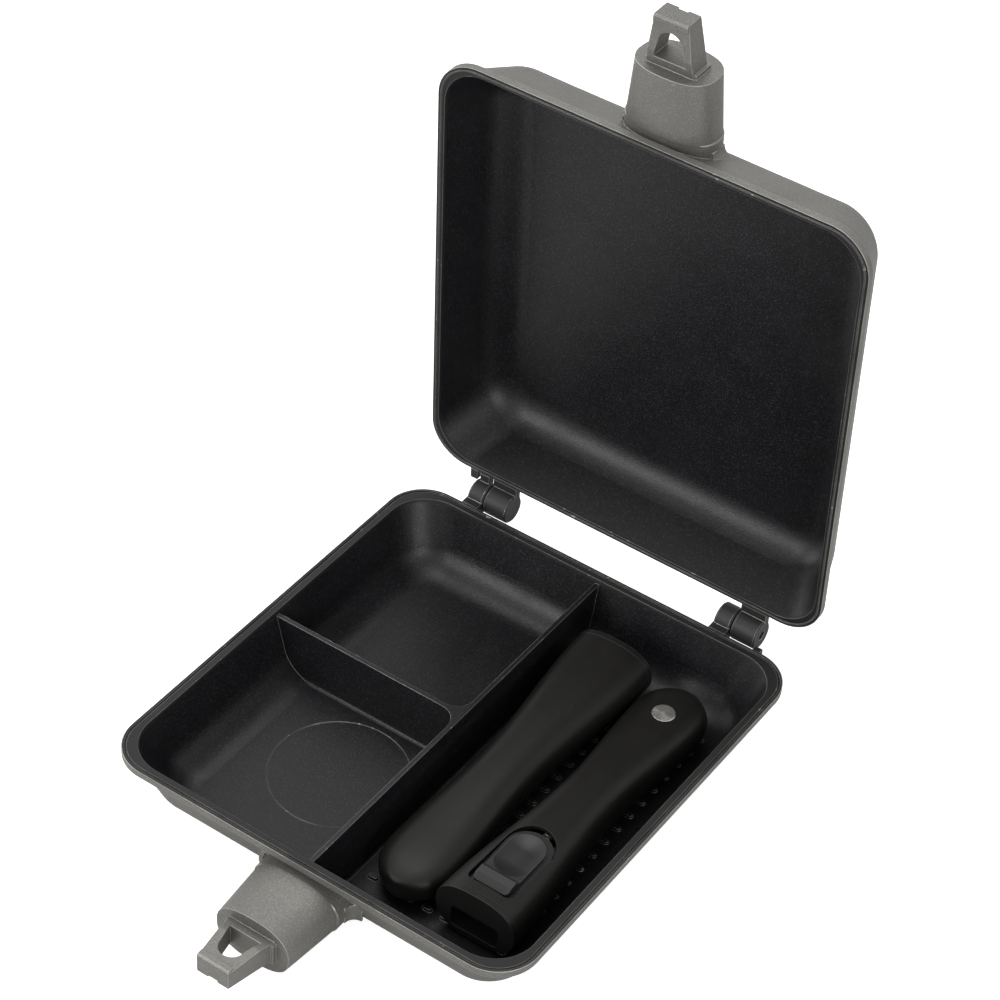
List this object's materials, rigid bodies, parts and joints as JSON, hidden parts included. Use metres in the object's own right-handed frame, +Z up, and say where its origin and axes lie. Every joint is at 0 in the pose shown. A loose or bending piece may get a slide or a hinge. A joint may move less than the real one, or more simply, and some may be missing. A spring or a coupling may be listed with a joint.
{
  "type": "double-sided grill pan",
  "caption": "Two rectangular cast pans hinged at the back, with a compartment divider grid and clip-on handles stowed in the large compartment.",
  "frame": {"origin": "centre of the lower pan's flat underside", "axes": "+Z up, +Y towards the hinge, +X along the hinge line to the right; the lid stands open"},
  "size_m": [0.215, 0.3357, 0.3313],
  "materials": {
    "pan_body": "non-stick coated die casting, dark grey",
    "pin_steel": "turned",
    "grip": "soft-touch black",
    "collar": "matt black",
    "latch_plastic": "moulded",
    "button": "satin dark grey",
    "spring_steel": "drawn wire",
    "magnet": "plated"
  },
  "bodies": {
    "pan": {"lower_pan": "pan_body", "hinge_pin_left": "pin_steel", "hinge_pin_right": "pin_steel"},
    "lid": {"lid_pan": "pan_body"},
    "left_handle": {"left_handle_grip": "grip", "left_handle_collar": "collar", "left_handle_latch_frame": "latch_plastic", "left_handle_pawl_pin": "pin_steel", "left_handle_spring": "spring_steel", "left_handle_magnet": "magnet"},
    "left_button": {"left_handle_button": "button"},
    "left_pawl": {"left_handle_pawl": "latch_plastic"},
    "right_handle": {"right_handle_grip": "grip", "right_handle_collar": "collar", "right_handle_latch_frame": "latch_plastic", "right_handle_pawl_pin": "pin_steel", "right_handle_spring": "spring_steel", "right_handle_magnet": "magnet"},
    "right_button": {"right_handle_button": "button"},
    "right_pawl": {"right_handle_pawl": "latch_plastic"}
  },
  "joints": [
    {"name": "lid_hinge", "type": "hinge", "parent": "pan", "child": "lid", "pos_m": [0, 0.1262, 0.033], "axis": [1, 0, 0], "range_deg": [0, 87.5]},
    {"name": "left_handle_lift", "type": "slide", "parent": "pan", "child": "left_handle", "axis": [0, 0, -1], "range_m": [-0.06, 0]},
    {"name": "left_button_slide", "type": "slide", "parent": "left_handle", "child": "left_button", "axis": [0, -0.9982, -0.0596], "range_m": [0, 0.004], "stiffness_N_per_m": 600, "springref_m": -0.002, "deforming": ["left_handle_spring"]},
    {"name": "left_pawl_pivot", "type": "hinge", "parent": "left_handle", "child": "left_pawl", "pos_m": [0.0293, 0.04807, 0.01425], "axis": [-1, 0, 0], "range_deg": [0, 12]},
    {"name": "right_handle_lift", "type": "slide", "parent": "pan", "child": "right_handle", "axis": [0, 0, -1], "range_m": [-0.06, 0]},
    {"name": "right_button_slide", "type": "slide", "parent": "right_handle", "child": "right_button", "axis": [0, 1, 0], "range_m": [0, 0.004], "stiffness_N_per_m": 600, "springref_m": -0.002, "deforming": ["right_handle_spring"]},
    {"name": "right_pawl_pivot", "type": "hinge", "parent": "right_handle", "child": "right_pawl", "pos_m": [0.068, -0.046, 0.0214], "axis": [-1, 0, 0], "range_deg": [0, 12]}
  ],
  "couplings": [
    {"joint": "left_pawl_pivot", "follows": "left_button_slide", "rad_per_m": 43.59},
    {"joint": "right_pawl_pivot", "follows": "right_button_slide", "rad_per_m": 43.59}
  ]
}
